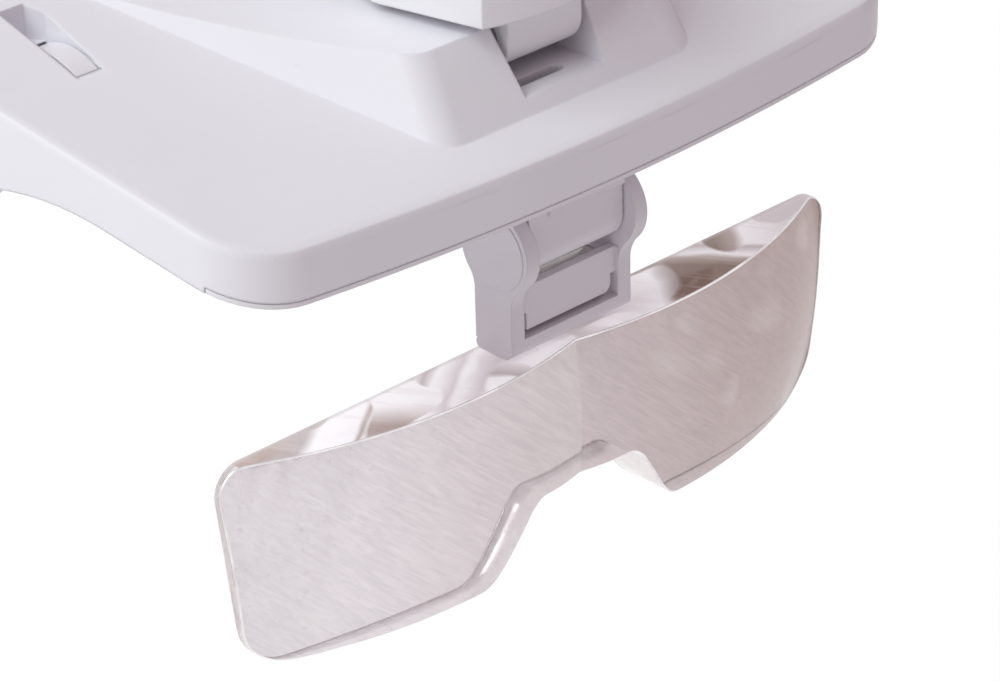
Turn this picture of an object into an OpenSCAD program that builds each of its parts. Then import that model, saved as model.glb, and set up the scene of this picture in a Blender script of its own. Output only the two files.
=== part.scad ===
// Head-worn visor with a tilting lamp and a clip-on lens that flips up on a hinge below the front edge.
// Millimetres. +Z up as worn, -Y away from the wearer. Origin: midpoint of the headband pivot axis.
// Inside the modules, positions count from the lens datum: middle of the lens's top rear edge.

/* [Visor] */
// half width of the visor's front edge before the corners
visor_half_w = 53.2; // [50:0.2:58]
// radius of the bowed front edge
visor_bow_r = 520; // [400:10:700]
// plan radius of the two front corners
visor_corner_r = 11; // [8:0.5:14]
// how far the sides spread towards the back, degrees
visor_flare = 14.3; // [10:0.1:16]
// how steeply the visor climbs towards the back, degrees
visor_pitch = 19; // [17:0.5:21]
// height of the edge band, measured upright
band_h = 7; // [6.6:0.1:8.5]
// thickness of the shell's top
roof_t = 2; // [1.6:0.1:2.2]
// thickness of the shell's edge walls
wall_t = 1.8; // [1.4:0.1:2.4]
// thickness of the lower cover
cover_t = 1.6; // [1.2:0.1:1.8]
// visible height of the lower cover's front rim
rim_h = 0.6; // [0.4:0.1:0.9]
// rounding of the top edge
edge_round = 1.4; // [0.8:0.1:1.8]
// height of the front edge's underside above the lens
visor_rise = 23.45; // [23:0.1:26]
// distance of the front edge ahead of the lens's rear face
visor_reach = 14.4; // [13.5:0.1:16]
// length of the visor from front edge to wing tips
visor_len = 80; // [76:1:90]
// radius of the hollow in the rear edge
brow_r = 110; // [100:1:130]

/* [Headband pivot] */
// height of the pivot axis above the lens's top edge
pivot_z = 34.5; // [34:0.1:35]
// distance of the pivot axis behind the lens's rear face
pivot_y = 27; // [26:0.1:28]
// radius of the pivot discs
disc_r = 9.6; // [9.2:0.1:9.8]
// thickness of the pivot discs
disc_t = 3.2; // [2.8:0.1:3.6]
// distance of the discs' inner faces from the middle
disc_x = 47.1; // [46.6:0.1:47.4]
// radius of the bore for the headband screw
pivot_bore_r = 1.6; // [1.2:0.1:2]

/* [Pedestal] */
// height of the pedestal's top front edge above the lens
pedestal_top = 42.3; // [41.8:0.1:42.8]
// how much each side leans in per millimetre of height
pedestal_taper = 0.61; // [0.5:0.01:0.7]
// how much each side spreads per millimetre towards the back
pedestal_spread = 0.71; // [0.6:0.01:0.75]
// how much the front leans back per millimetre of height
pedestal_lean = 0.655; // [0.5:0.005:0.7]
// wall thickness of the pedestal
pedestal_wall = 1.8; // [1.4:0.1:2.2]
// plan radius of the pedestal's two front corners
pedestal_corner_r = 5; // [3:0.5:6]
// radius of the hollow top surface
pedestal_sweep_r = 200; // [190:5:240]
// half width of the notch at its sill
notch_half_w = 6.6; // [6.5:0.1:7]
// height of the notch's sill above the lens
sill_z = 34.5; // [34.2:0.1:34.8]

/* [Lamp] */
// height of the lamp's underside above the lens
lamp_z = 43.8; // [43.6:0.1:44.6]
// height of the lamp box
lamp_h = 20.5; // [20:0.5:24]
// half width of the lamp box at its front
lamp_half_w = 11.3; // [11:0.1:13]
// spread of the lamp's sides per millimetre towards the back
lamp_spread = 0.3; // [0.26:0.01:0.36]
// depth of the lamp box
lamp_depth = 30; // [29:0.5:34]
// wall thickness of the lamp box
lamp_wall = 1.4; // [1.1:0.1:1.5]
// how much the lamp's underside rises per millimetre towards the back
lamp_rise = 0.04; // [0:0.01:0.06]
// height of the tilt axis above the lens
tilt_z = 40; // [39.8:0.1:40.3]
// radius of the tilt knuckle's rounded foot
knuckle_r = 3.8; // [3.4:0.1:3.9]
// half width of the tilt knuckle
knuckle_half_w = 6.1; // [5:0.1:6.2]
// radius of the tilt axle
tilt_axle_r = 1.2; // [1:0.1:1.4]
// radius of a coin cell
cell_r = 10; // [9:0.1:10.2]
// thickness of a coin cell
cell_t = 3.2; // [2.5:0.1:3.2]

/* [Flip hinge] */
// height of the flip axis above the lens's top edge
flip_z = 14.6; // [14.2:0.1:15.5]
// distance of the flip axis ahead of the lens's rear face
flip_y = 4.3; // [4.1:0.1:4.5]
// radius of the hinge block's rounded foot
block_r = 3.8; // [3.4:0.1:4.2]
// half width of the hinge block
block_half_w = 7.9; // [7.4:0.1:8.4]
// radius of the bracket's round heads
head_r = 5.7; // [5.3:0.1:6]
// thickness of each bracket arm
arm_t = 2.1; // [1.8:0.1:2.6]
// gap between hinge block and bracket arm
side_gap = 0.2; // [0.12:0.02:0.3]
// radius of the flip axle
flip_axle_r = 1.5; // [1.2:0.1:1.8]
// radial clearance of every axle in its bore
run_gap = 0.05; // [0.02:0.01:0.09]

/* [Bracket socket] */
// front face of the bracket ahead of the lens's rear face
bracket_front = 7; // [6.8:0.1:8]
// rear face of the bracket ahead of the lens's rear face
bracket_back = 0.7; // [0.4:0.1:1.2]
// gap between the bracket's foot and the lens
foot_gap = 0.5; // [0.35:0.05:0.8]
// height of the bracket's front plate above the lens
plate_top_z = 9.6; // [8.8:0.1:9.8]
// thickness of the bracket's front plate
front_plate_t = 1.6; // [1.2:0.1:1.9]
// thickness of the lens's tongue
tongue_t = 2.4; // [2:0.1:2.6]
// height of the lens's tongue
tongue_h = 8.6; // [7:0.1:8.8]
// half width of the lens's tongue
tongue_half_w = 6.6; // [6:0.1:7]
// gap around the tongue
tongue_gap = 0.12; // [0.08:0.01:0.2]
// width of the latch's U-shaped slot
slot_w = 0.8; // [0.5:0.05:1]

/* [Lens] */
// width of the lens plate at its top
lens_w = 104; // [96:1:112]
// height of the lens plate
lens_h = 28.6; // [27:0.2:33]
// slant of the lens's ends, degrees
lens_slant = 7.1; // [4:0.1:10]
// greatest thickness of a lobe
lens_peak_t = 10.75; // [9.5:0.05:12]
// spherical radius of a lobe
lobe_r = 70; // [60:1:90]
// distance of a lobe's optical centre from the middle
lobe_x = 16.6; // [14:0.2:20]
// depth of the optical centres below the top edge
lobe_z = 13; // [11:0.5:15]
// thickness of the plate at its ends
lens_edge_t = 2; // [1.6:0.1:3]
// plan radius of the lower outer corners
lens_low_r = 10; // [6:0.5:12]
// plan radius of the upper corners
lens_top_r = 5; // [2:0.5:6]
// half width of the nose notch at the bottom
nose_low_w = 14; // [12:0.5:16]
// half width of the nose notch at its top
nose_top_w = 6.6; // [4:0.2:8]
// height of the nose notch
nose_h = 9.3; // [8:0.1:12]

/* [Hidden] */
$fn = 64;
eps = 0.01;
slice_t = 0.05;
big = 400;
seam = 0.15;
end_gap = 0.05;
slope = tan(visor_pitch);
front_y = -visor_reach;
rear_y = front_y + visor_len;
brow_mid_y = rear_y + brow_r - 16;
flip_x = block_half_w + side_gap;
arm_out = flip_x + arm_t;
split_y = front_y + 9;
tilt_y = knuckle_r - 3.3;
wing_r = 4.6;
wing_start_y = 8;
wing_arc_r = 32;
axle_y = -flip_y;
screw_r = 1;
screw_gap = 0.05;
cover_screw_xy = [[44, front_y + 17], [24, front_y + 6], [60, front_y + 62], [30, front_y + 55]];
neck_back = axle_y + block_r;
neck_front = axle_y - block_r;
lamp_front = -6.1;
lamp_rear = lamp_front + lamp_depth;
lamp_top = lamp_z + lamp_h;
lamp_split = lamp_z + 5.6;
cell_y = lamp_rear - lamp_wall - cell_r - 1;
cell_z = lamp_top - lamp_wall - 2 * cell_t - 1.6;
window_z = lamp_split + 6;
window_half_w = 7.6;
window_half_h = 3.6;
door_half_w = 11;
pocket_floor = pivot_z + 8.5;
pocket_front = pivot_y - 5.1;
pocket_back = pivot_y + 7.6;
pocket_r = 1.2;
flange_lift = cover_t + seam;
disc_foot_z = pivot_z - 5.2;
disc_foot_h = 1.2;
disc_screw_x = disc_x - 3.8;
disc_screw_y = [pivot_y - 3.4, pivot_y + 0.6];
block_screw_x = block_half_w + 3.5;

module datum() { translate([0, -pivot_y, -pivot_z]) children(); }
module both_sides() { children(); mirror([1, 0, 0]) children(); }
module along_x(x0, x1, r) { translate([x0, 0, 0]) rotate([0, 90, 0]) cylinder(h = x1 - x0, r = r); }
module box(a, b) { translate(a) cube(b - a); }
// a side profile drawn as [y, z] and drawn out along X
module profile_x(x0, x1) {
    translate([x0, 0, 0]) rotate([90, 0, 90]) linear_extrude(x1 - x0) children();
}
// a front profile drawn as [x, z] and drawn out along Y
module profile_y(y0, y1) {
    translate([0, y1, 0]) rotate([90, 0, 0]) linear_extrude(y1 - y0) children();
}

// ---- visor outline in plan ----
side_dir = [sin(visor_flare), cos(visor_flare)];
side_out = [cos(visor_flare), -sin(visor_flare)];
bow_mid = [0, front_y + visor_bow_r];
side_base = [visor_half_w, front_y] - visor_corner_r * side_out;
base_to_mid = side_base - bow_mid;
half_b = side_dir * base_to_mid;
disc_c = base_to_mid * base_to_mid - pow(visor_bow_r - visor_corner_r, 2);
corner_mid = side_base + side_dir * (-half_b - sqrt(half_b * half_b - disc_c));
corner_start = atan2(corner_mid[1] - bow_mid[1], corner_mid[0] - bow_mid[0]);
corner_steps = 10;
bow_steps = 8;

function side_x(y) = visor_half_w + tan(visor_flare) * (y - front_y);
function arc_point(mid, r, a) = mid + r * [cos(a), sin(a)];
function right_edge(inset) = concat(
    [for (i = [1 : bow_steps - 1])
        arc_point(bow_mid, visor_bow_r - inset, -90 + (corner_start + 90) * i / bow_steps)],
    [for (i = [0 : corner_steps])
        arc_point(corner_mid, visor_corner_r - inset,
            corner_start + (-visor_flare - corner_start) * i / corner_steps)],
    [[side_x(rear_y - inset) - inset / cos(visor_flare), rear_y - inset]]);
function mirrored(p) = [for (i = [len(p) - 1 : -1 : 0]) [-p[i][0], p[i][1]]];
function visor_outline(inset) = concat([[0, front_y + inset]], right_edge(inset), mirrored(right_edge(inset)));
function belly_z(y) = visor_rise + slope * (y - front_y);
function roof_z(y) = belly_z(y) + band_h;

module sheared(lift) {
    multmatrix([[1, 0, 0, 0], [0, 1, 0, 0], [0, slope, 1, visor_rise + lift - slope * front_y], [0, 0, 0, 1]])
        children();
}
module outline_slice(inset, lift) {
    sheared(lift) linear_extrude(slice_t) polygon(visor_outline(inset));
}
// everything above or below a plane parallel to the visor
module above(lift) {
    translate([0, front_y, visor_rise + lift]) rotate([visor_pitch, 0, 0])
        translate([-big / 2, -big / 2, 0]) cube(big);
}
module below(lift) {
    translate([0, front_y, visor_rise + lift]) rotate([visor_pitch, 0, 0])
        translate([-big / 2, -big / 2, -big]) cube(big);
}
module slab(low, high) { intersection() { above(low); below(high); } }
module outline_prism(inset) {
    translate([0, 0, -20]) linear_extrude(120) polygon(visor_outline(inset));
}
module brow(grow) { translate([0, brow_mid_y, -20]) cylinder(h = 140, r = brow_r + grow, $fn = 160); }

// ---- pedestal ----
pedestal_rear = 50;
side_turn = atan(pedestal_spread);
// half width of the pedestal at a height and depth
function pedestal_x(y, z) = 20.35 - pedestal_taper * (z - 32.6) + pedestal_spread * (y + 7.95);
function pedestal_y(z) = -7.95 + pedestal_lean * (z - 32.6);
module pedestal_slice(z, inset) {
    yf = pedestal_y(z) + inset;
    xf = pedestal_x(yf, z) - inset * 1.25;
    yr = pedestal_rear;
    xr = pedestal_x(yr, z) - inset * 1.25;
    r = pedestal_corner_r - inset * 0.8;
    mid = [xf - r * (1 - sin(side_turn)) / cos(side_turn), yf + r];
    corner = [for (i = [0 : 8]) mid + r * [sin((90 - side_turn) * i / 8), -cos((90 - side_turn) * i / 8)]];
    right = concat(corner, [[xr, yr]]);
    translate([0, 0, z]) linear_extrude(slice_t) polygon(concat(right, mirrored(right)));
}
module pedestal_body(inset, low, high) {
    hull() {
        pedestal_slice(low, inset);
        pedestal_slice(high, inset);
    }
}
sweep_lead = 0.05 * pedestal_sweep_r;
sweep_y = -2.6 - sweep_lead;
sweep_z = pedestal_top + sqrt(pow(pedestal_sweep_r, 2) - pow(sweep_lead, 2));
module sweep(grow) {
    translate([0, sweep_y, sweep_z]) along_x(-80, 80, pedestal_sweep_r + grow, $fn = 256);
}
notch_top_w = notch_half_w + 1.5;
notch_lean = (notch_top_w + 0.3 - notch_half_w) / (50 - sill_z);
notch_back = 8;
notch_wall = 1.6;
module notch_shape(grow, low) {
    profile_y(-30, notch_back + grow) polygon([[-notch_half_w - grow, low], [notch_half_w + grow, low],
        [notch_top_w + grow + 0.3, 50], [-notch_top_w - grow - 0.3, 50]]);
}

// ---- nodes ----
module upper_skin() {
    hull() {
        outline_slice(0, rim_h + seam);
        outline_slice(0, band_h - edge_round);
        outline_slice(0.29 * edge_round, band_h - 0.29 * edge_round);
        outline_slice(edge_round, band_h - slice_t);
    }
}
wing_mid = [wing_start_y + 10.4, belly_z(wing_start_y) - sqrt(pow(wing_arc_r, 2) - pow(10.4, 2))];
function wing_low(y) = wing_mid[1] + sqrt(pow(wing_arc_r, 2) - pow(y - wing_mid[0], 2));
// side view of a wing, its lower edge bowed down ahead of the pivot
module wing_profile() {
    start_y = split_y + end_gap;
    polygon(concat([[start_y, belly_z(start_y)]],
        [for (i = [0 : 8]) [wing_start_y + 2 * i, wing_low(wing_start_y + 2 * i)]],
        [[pivot_y + 12, wing_low(wing_mid[0]) + 0.6], [rear_y + 2, belly_z(rear_y + 2) - 0.5],
        [rear_y + 2, roof_z(rear_y + 2) - 3], [start_y, roof_z(start_y) - 3]]));
    translate([pivot_y, pivot_z]) circle(r = wing_r);
}
// plan of the pocket round a pivot disc, its outer front corner rounded
module pocket_plan(grow, high) {
    inner = disc_x - 0.5 - grow;
    outer = disc_x + disc_t + 0.3;
    mid = [outer - pocket_r, pocket_front + pocket_r];
    translate([0, 0, high[0]]) linear_extrude(high[1] - high[0])
        polygon(concat([[inner, pocket_front - grow]],
            [for (i = [0 : 4]) mid + (pocket_r + grow) * [sin(22.5 * i), -cos(22.5 * i)]],
            [[outer + 0.9 + grow, pocket_back + grow], [inner + 1.3, pocket_back + grow],
            [inner, pocket_back - 2.4]]));
}
// hollow of the pedestal, clear of the walls round the notch
module pedestal_void() {
    difference() {
        pedestal_body(pedestal_wall, 26.5, 55);
        sweep(pedestal_wall);
        notch_walls();
    }
}
module notch_walls() {
    intersection() {
        notch_shape(notch_wall, sill_z - notch_wall);
        box([-30, -30, 20], [30, notch_back + notch_wall, 60]);
    }
}
module visor_upper_shell() datum() color([0.87, 0.865, 0.905]) {
    difference() {
        union() {
            difference() {
                union() {
                    upper_skin();
                    intersection() {
                        difference() { outline_prism(0); outline_prism(wall_t); }
                        profile_x(-100, 100) wing_profile();
                    }
                }
                difference() {
                    intersection() { outline_prism(wall_t); slab(-30, band_h - roof_t); }
                    brow(wall_t);
                }
            }
            // wedge pedestal with the floor and the side walls of its notch
            difference() {
                intersection() {
                    pedestal_body(0, 27, 54);
                    union() {
                        above(band_h - roof_t);
                        intersection() { notch_walls(); above(flange_lift + 0.2); }
                    }
                }
                sweep(0);
            }
            both_sides() {
                // pocket round each pivot disc
                intersection() {
                    pocket_plan(1.2, [pocket_floor - 1.2, 60]);
                    below(band_h - 1);
                }
                // screw posts under the roof
                for (p = cover_screw_xy) intersection() {
                    translate([p[0], p[1], 0]) cylinder(h = 90, r = 2.6);
                    slab(cover_t + seam, band_h - 1);
                }
            }
        }
        pedestal_void();
        notch_shape(0, sill_z);
        sill_slot();
        translate([0, tilt_y, tilt_z]) along_x(-12, 12, tilt_axle_r + 0.02);
        brow(0);
        both_sides() {
            pocket_plan(0, [pocket_floor, 80]);
            translate([0, pivot_y, pivot_z]) along_x(disc_x - 0.3, disc_x + disc_t + 0.3, disc_r + 0.3);
            translate([0, pivot_y, pivot_z]) along_x(disc_x + 8, 90, 3.2);
            for (p = cover_screw_xy) intersection() {
                translate([p[0], p[1], 0]) cylinder(h = 90, r = screw_r + screw_gap);
                below(band_h - roof_t + 0.2);
            }
        }
    }
}
sill_slot_y = -3;
sill_slot_r = 0.95;
module sill_slot() {
    right = notch_half_w - 4.8;
    box([-notch_half_w + 1.4, sill_slot_y - sill_slot_r, sill_z - 3],
        [right, sill_slot_y + sill_slot_r, sill_z + 0.5]);
    translate([right, sill_slot_y, sill_z - 3]) cylinder(h = 3.5, r = sill_slot_r);
}

module visor_lower_cover() datum() color([0.86, 0.855, 0.895]) {
    difference() {
        union() {
            intersection() {
                outline_prism(0.05);
                slab(0, rim_h);
                box([-100, -60, -20], [100, split_y - end_gap, 100]);
            }
            intersection() { outline_prism(wall_t + seam); slab(0, cover_t); }
            // collar round the hinge block's neck
            intersection() {
                box([-block_half_w - 1.6, neck_front - 1.4, 10], [block_half_w + 1.6, neck_back + 1.4, 60]);
                slab(-0.9, cover_t);
            }
        }
        brow(wall_t + seam);
        box([-block_half_w - 0.3, neck_front - 0.3, 0], [block_half_w + 0.3, neck_back + 0.3, 60]);
        both_sides() {
            box([disc_x - 0.3, pivot_y - disc_r - 0.6, 20], [disc_x + disc_t + 0.3, pivot_y + disc_r + 0.6, 60]);
            for (p = cover_screw_xy) translate([p[0], p[1], 0]) cylinder(h = 90, r = screw_r + 0.2);
            translate([block_screw_x, axle_y, 0]) cylinder(h = 60, r = screw_r + 0.2);
        }
    }
}

module pan_screw(z0, len, head_r) {
    translate([0, 0, z0]) {
        cylinder(h = len, r = screw_r);
        difference() {
            translate([0, 0, -1.1]) cylinder(h = 1.1 + eps, r = head_r, $fn = 48);
            for (a = [0, 90]) rotate([0, 0, a]) translate([-1.1, -0.2, -1.2]) cube([2.2, 0.4, 0.7]);
        }
    }
}
// depth of a level screw head below the sloping cover
function head_z(y, r) = belly_z(y) - slope * r - 0.05;
module cover_screws() datum() color([0.62, 0.63, 0.65]) {
    both_sides() for (p = cover_screw_xy)
        translate([p[0], p[1], 0]) pan_screw(head_z(p[1], 1.9), band_h - roof_t - 0.5, 1.9);
}

module pivot_discs() datum() color([0.85, 0.845, 0.885]) {
    both_sides() difference() {
        union() {
            translate([0, pivot_y, pivot_z]) along_x(disc_x, disc_x + disc_t, disc_r);
            // foot that lies on the lower cover
            intersection() {
                box([disc_x - 6.5, pivot_y - 5.2, 20], [disc_x + 1, pivot_y + 2.4, 60]);
                slab(cover_t + 0.1, cover_t + 0.1 + disc_foot_h);
            }
        }
        // flat lower edge, hidden behind the wing
        box([disc_x - 1, pivot_y - 20, 0], [disc_x + disc_t + 1, pivot_y + 20, disc_foot_z]);
        translate([0, pivot_y, pivot_z]) along_x(disc_x - 1, disc_x + disc_t + 1, pivot_bore_r);
        for (y = disc_screw_y) translate([disc_screw_x, y, 0]) cylinder(h = 60, r = screw_r + screw_gap);
    }
}

// front view of a foot of a given half width whose lower corners are rounded
module foot_view(half_w, low, r) {
    translate([-half_w, low + r]) square([2 * half_w, 60]);
    translate([-half_w + r, low]) square([2 * (half_w - r), r + 1]);
    for (x = [-half_w + r, half_w - r]) translate([x, low + r]) circle(r = r);
}
lip_z = 18.8;
lip_left = 4.8;
lip_t = 0.4;
module flip_hinge_block() datum() color([0.84, 0.835, 0.875]) {
    difference() {
        union() {
            intersection() {
                union() {
                    translate([0, axle_y, flip_z]) along_x(-block_half_w, block_half_w, block_r);
                    box([-block_half_w, neck_front, flip_z], [block_half_w, neck_back, 60]);
                }
                profile_y(-30, 30) foot_view(block_half_w, flip_z - block_r, 1.6);
                below(flange_lift + 0.1);
            }
            // small lip across the front, below the rim
            box([-lip_left, neck_front - lip_t, lip_z], [block_half_w, neck_front + eps, visor_rise + 0.4]);
            intersection() {
                box([-block_half_w - 5, neck_front - 2, 10], [block_half_w + 5, neck_back + 3, 60]);
                slab(flange_lift, flange_lift + 1.4);
            }
        }
        translate([0, axle_y, flip_z]) along_x(-20, 20, flip_axle_r + run_gap);
        both_sides() translate([block_screw_x, axle_y, 10]) cylinder(h = 40, r = screw_r + screw_gap);
    }
}

module pivot_disc_screws() datum() color([0.62, 0.63, 0.65]) {
    both_sides() for (y = disc_screw_y)
        translate([disc_screw_x, y, 0]) pan_screw_up(belly_z(y) + cover_t + 0.1 + disc_foot_h);
}
module pan_screw_up(z0) {
    translate([0, 0, z0 + slope * 1.6 + 0.05]) {
        translate([0, 0, -1.5]) cylinder(h = 1.5 + eps, r = screw_r);
        cylinder(h = 0.7, r = 1.6, $fn = 48);
    }
}
module hinge_block_screws() datum() color([0.62, 0.63, 0.65]) {
    both_sides() translate([block_screw_x, axle_y, 0])
        pan_screw(head_z(axle_y, 1.7), flange_lift + 1.5, 1.7);
}

foot_z = foot_gap;
socket_front = bracket_front - front_plate_t;
tongue_front = socket_front - tongue_gap;
tongue_back = tongue_front - tongue_t;
socket_back = tongue_back - tongue_gap;
latch_low = foot_z + 2.4;
latch_high = latch_low + 3.2;
latch_sink = 0.5;
latch_r = 1.2;
latch_half_w = flip_x - 0.1;
// side view of the leg, its two lower corners rounded
module leg_profile(high) {
    front_r = 1.4;
    back_r = 0.8;
    translate([-bracket_front, foot_z + front_r]) square([bracket_front - bracket_back, high - foot_z - front_r]);
    translate([-bracket_front + front_r, foot_z])
        square([bracket_front - front_r - bracket_back - back_r, front_r + 1]);
    translate([-bracket_front + front_r, foot_z + front_r]) circle(r = front_r);
    translate([-bracket_back - back_r, foot_z + back_r]) circle(r = back_r);
}
// hollow curve between an edge of the leg and the round head
module neck_curve(edge, r, side) {
    mid_y = edge + side * r;
    mid = [mid_y, flip_z - sqrt(pow(head_r + r, 2) - pow(mid_y - axle_y, 2))];
    difference() {
        polygon([[axle_y, flip_z], mid, [edge, mid[1]], [axle_y, mid[1]]]);
        translate(mid) circle(r = r + 0.02);
    }
}
module arm_profile() {
    translate([axle_y, flip_z]) circle(r = head_r);
    leg_profile(flip_z - head_r + 1.5);
    neck_curve(-bracket_back, 4, 1);
    neck_curve(-bracket_front, 5, -1);
}
// front view of the U-shaped slot that frees the latch, one inner corner rounded
module latch_slot() {
    inner = latch_half_w - slot_w;
    difference() {
        translate([-latch_half_w, latch_low]) square([2 * latch_half_w, latch_high - latch_low]);
        translate([-inner, latch_low + slot_w]) square([2 * inner - latch_r, 10]);
        translate([-inner, latch_low + slot_w + latch_r]) square([2 * inner, 10]);
        translate([inner - latch_r, latch_low + slot_w + latch_r]) circle(r = latch_r);
    }
}
module flip_bracket() datum() color([0.83, 0.82, 0.86]) {
    difference() {
        union() {
            both_sides() {
                profile_x(flip_x, arm_out) arm_profile();
                // shallow raised disc on the outer face
                translate([0, axle_y, flip_z]) along_x(arm_out - eps, arm_out + 0.12, head_r - 0.7);
            }
            intersection() {
                profile_x(-flip_x - eps, flip_x + eps) leg_profile(plate_top_z);
                union() {
                    box([-20, -20, 0], [20, -socket_front, plate_top_z]);
                    box([-20, -socket_back, 0], [20, 0, plate_top_z - 0.6]);
                    both_sides() box([tongue_half_w + tongue_gap, -socket_front - eps, 0],
                        [flip_x + eps, -socket_back + eps, plate_top_z - 0.6]);
                }
            }
        }
        translate([0, axle_y, flip_z]) {
            along_x(-arm_out + 0.7, arm_out - 0.7, flip_axle_r + 0.02);
            // room for the block's foot
            along_x(-flip_x, flip_x, block_r + 0.35);
        }
        // the front plate lies back a little above its foot bar
        box([-latch_half_w, -bracket_front - 1, latch_low + slot_w],
            [latch_half_w, -bracket_front + latch_sink, plate_top_z + 1]);
        profile_y(-bracket_front - 1, -socket_front + eps) latch_slot();
    }
}
module flip_axle() datum() color([0.7, 0.71, 0.73]) {
    translate([0, axle_y, flip_z]) along_x(-arm_out + 0.8, arm_out - 0.8, flip_axle_r);
}
module flip_friction_rings() datum() color([0.2, 0.2, 0.21]) {
    both_sides() translate([0, axle_y, flip_z]) difference() {
        along_x(block_half_w + 0.03, flip_x - 0.03, 2.6);
        along_x(0, 20, flip_axle_r + 0.05);
    }
}

// ---- lens ----
lens_low_half = lens_w / 2 - lens_h * tan(lens_slant);
module lens_outline() {
    hull() {
        both_flat() translate([lens_w / 2 - lens_top_r * 1.1, -lens_top_r]) circle(r = lens_top_r);
        both_flat() translate([lens_low_half - lens_low_r * 0.93, -lens_h + lens_low_r]) circle(r = lens_low_r);
    }
}
module both_flat() { children(); mirror([1, 0]) children(); }
module nose_outline() {
    polygon([[-nose_low_w - 2, -lens_h - 1.4], [nose_low_w + 2, -lens_h - 1.4], [nose_low_w, -lens_h + 1.2],
        [nose_top_w + 1.6, -lens_h + nose_h - 2.2], [nose_top_w - 1.6, -lens_h + nose_h],
        [-nose_top_w + 1.6, -lens_h + nose_h], [-nose_top_w - 1.6, -lens_h + nose_h - 2.2],
        [-nose_low_w, -lens_h + 1.2]]);
}
module lens_plate() datum() color([0.8, 0.82, 0.85, 0.45]) {
    difference() {
        union() {
            intersection() {
                profile_y(-20, 0) lens_outline();
                union() {
                    intersection() {
                        translate([lobe_x, lobe_r - lens_peak_t, -lobe_z]) sphere(r = lobe_r, $fn = 128);
                        box([0, -20, -60], [80, 0, 10]);
                    }
                    intersection() {
                        translate([-lobe_x, lobe_r - lens_peak_t, -lobe_z]) sphere(r = lobe_r, $fn = 128);
                        box([-80, -20, -60], [0, 0, 10]);
                    }
                    box([-80, -lens_edge_t, -60], [80, 0, 10]);
                }
            }
            box([-tongue_half_w, -tongue_front, -1], [tongue_half_w, -tongue_back, foot_z + tongue_h]);
        }
        profile_y(-30, 5) nose_outline();
    }
}

// ---- lamp ----
function lamp_x(y) = lamp_half_w - 0.3 + lamp_spread * (y + 4.3);
lamp_bow_r = 33.6;
module lamp_plan(inset) {
    intersection() {
        polygon([[-lamp_x(-20) + inset, -20], [lamp_x(-20) - inset, -20],
            [lamp_x(lamp_rear) - inset * 1.04, lamp_rear - inset],
            [-lamp_x(lamp_rear) + inset * 1.04, lamp_rear - inset]]);
        union() {
            translate([0, lamp_front + lamp_bow_r]) circle(r = lamp_bow_r - inset, $fn = 128);
            translate([-40, lamp_front + 6]) square([80, 40]);
        }
    }
}
lamp_heel = 10;
function lamp_under(y) = lamp_z + lamp_rise * (y - lamp_front);
module lamp_side(inset) {
    heel_z = lamp_under(lamp_heel) + inset;
    polygon([[-12, lamp_under(-12) + inset], [lamp_heel - inset * 0.4, heel_z],
        [lamp_rear + eps, heel_z + (lamp_rear - lamp_heel) * 0.68 + inset * 0.25], [lamp_rear + eps, lamp_top - inset],
        [-12, lamp_top - inset]]);
}
module lamp_solid(inset) {
    intersection() {
        translate([0, 0, lamp_z - 5]) linear_extrude(lamp_h + 10) lamp_plan(inset);
        profile_x(-40, 40) lamp_side(inset);
    }
}
case_screw_xy = [12.4, 9.4];
case_screw_z = lamp_under(case_screw_xy[1]);
module lamp_lower_case() datum() color([0.9, 0.9, 0.93]) {
    difference() {
        union() {
            intersection() {
                difference() { lamp_solid(0); lamp_solid(lamp_wall); }
                box([-60, -40, 0], [60, 60, lamp_split]);
            }
            // tilt knuckle
            intersection() {
                union() {
                    translate([0, tilt_y, tilt_z]) along_x(-knuckle_half_w, knuckle_half_w, knuckle_r);
                    box([-knuckle_half_w, tilt_y - knuckle_r, tilt_z],
                        [knuckle_half_w, tilt_y + knuckle_r, lamp_under(tilt_y) + lamp_wall / 2]);
                }
                profile_y(-30, 30) foot_view(knuckle_half_w, tilt_z - knuckle_r, 1.5);
            }
            both_sides() translate([case_screw_xy[0], case_screw_xy[1], case_screw_z + lamp_wall / 2])
                cylinder(h = 5, r = 1.9);
        }
        translate([0, tilt_y, tilt_z]) along_x(-12, 12, tilt_axle_r + run_gap);
        both_sides() translate([case_screw_xy[0], case_screw_xy[1], case_screw_z - 1]) cylinder(h = 12, r = 0.95);
        both_sides() translate([case_screw_xy[0], case_screw_xy[1], case_screw_z - 1]) cylinder(h = 2.1, r = 1.75);
    }
}
module lamp_upper_case() datum() color([0.91, 0.91, 0.94]) {
    difference() {
        union() {
            intersection() {
                difference() { lamp_solid(0); lamp_solid(lamp_wall); }
                box([-60, -40, lamp_split + 0.25], [60, 60, 100]);
            }
            both_sides() intersection() {
                translate([case_screw_xy[0], case_screw_xy[1], case_screw_z + lamp_wall / 2 + 5.2])
                    cylinder(h = 30, r = 1.9);
                lamp_solid(lamp_wall / 2);
            }
            // ledges that carry the battery door
            both_sides() box([door_half_w - 1.2, cell_y - cell_r, lamp_top - lamp_wall - 1.3],
                [door_half_w + 1.2, lamp_rear - 0.5, lamp_top - lamp_wall + 0.1]);
        }
        both_sides() translate([case_screw_xy[0], case_screw_xy[1], case_screw_z]) cylinder(h = 13, r = 0.85);
        box([-window_half_w, -20, window_z - window_half_h], [window_half_w, -3, window_z + window_half_h]);
        box([-door_half_w - 0.15, cell_y - cell_r - 0.6, lamp_top - lamp_wall],
            [door_half_w + 0.15, lamp_rear + 1, lamp_top + 1]);
        box([-door_half_w + 1.2, cell_y - cell_r - 0.6, lamp_top - 5],
            [door_half_w - 1.2, lamp_rear - lamp_wall - 0.6, lamp_top + 1]);
        box([-4, -3.3, lamp_top - 4], [4, -0.7, lamp_top + 1]);
    }
}
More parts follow.
